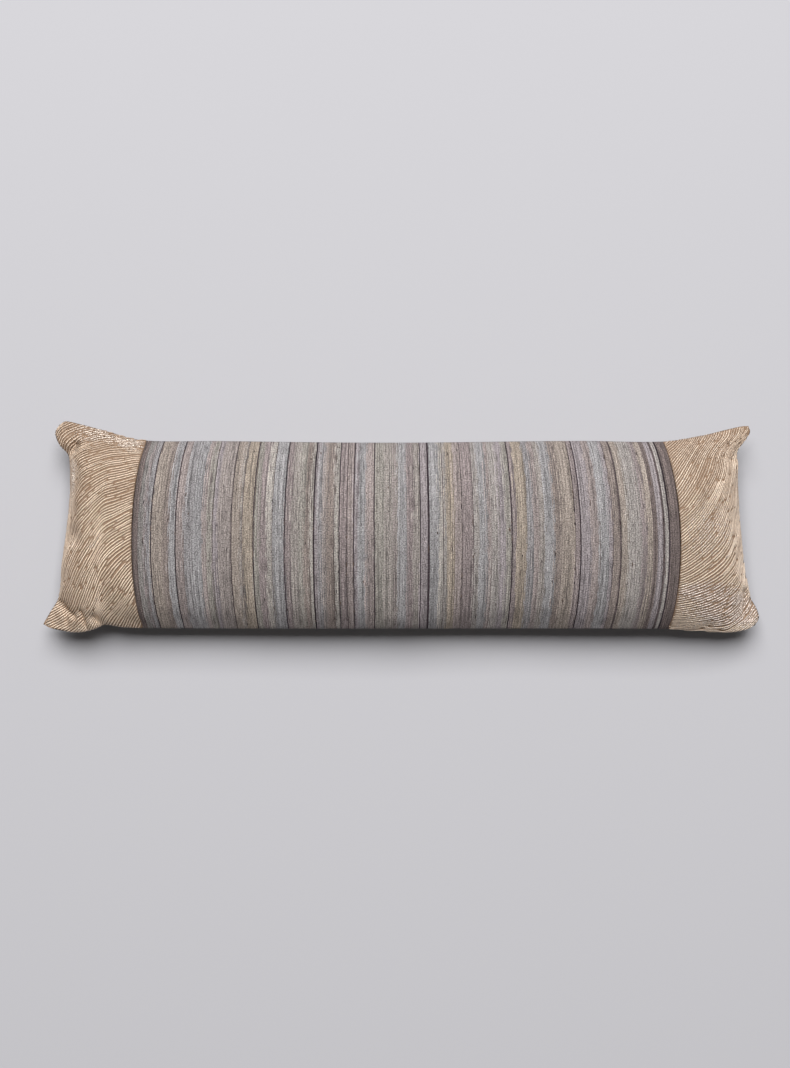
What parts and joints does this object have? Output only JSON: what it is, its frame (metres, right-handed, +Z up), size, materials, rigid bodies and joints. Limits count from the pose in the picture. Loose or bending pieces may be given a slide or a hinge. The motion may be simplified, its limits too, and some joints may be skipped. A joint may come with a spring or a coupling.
{
  "type": "long lumbar cushion",
  "caption": "Long filled cushion with a striped woven band between two corded, metallic-thread end panels and a plain back; it lies flat on its back.",
  "frame": {"origin": "on the surface that the cushion lies on, under the centre of its bounding box", "axes": "+X along the cushion towards its right end, +Y across its face towards the edge that is uppermost when it is stood up, +Z up out of the striped front"},
  "size_m": [1.1996, 0.3522, 0.1261],
  "materials": {
    "striped_cloth": "matt hand-woven slub cloth, striped in greys, taupes, mauves and pale blues",
    "corded_cloth": "champagne cloth covered with couched metallic cord, soft sheen with bright glints",
    "back_cloth": "plain matt linen weave in taupe grey"
  },
  "bodies": {
    "root": {"filled_back": "back_cloth", "centre_band": "striped_cloth", "left_end_panel": "corded_cloth", "right_end_panel": "corded_cloth"}
  },
  "joints": []
}
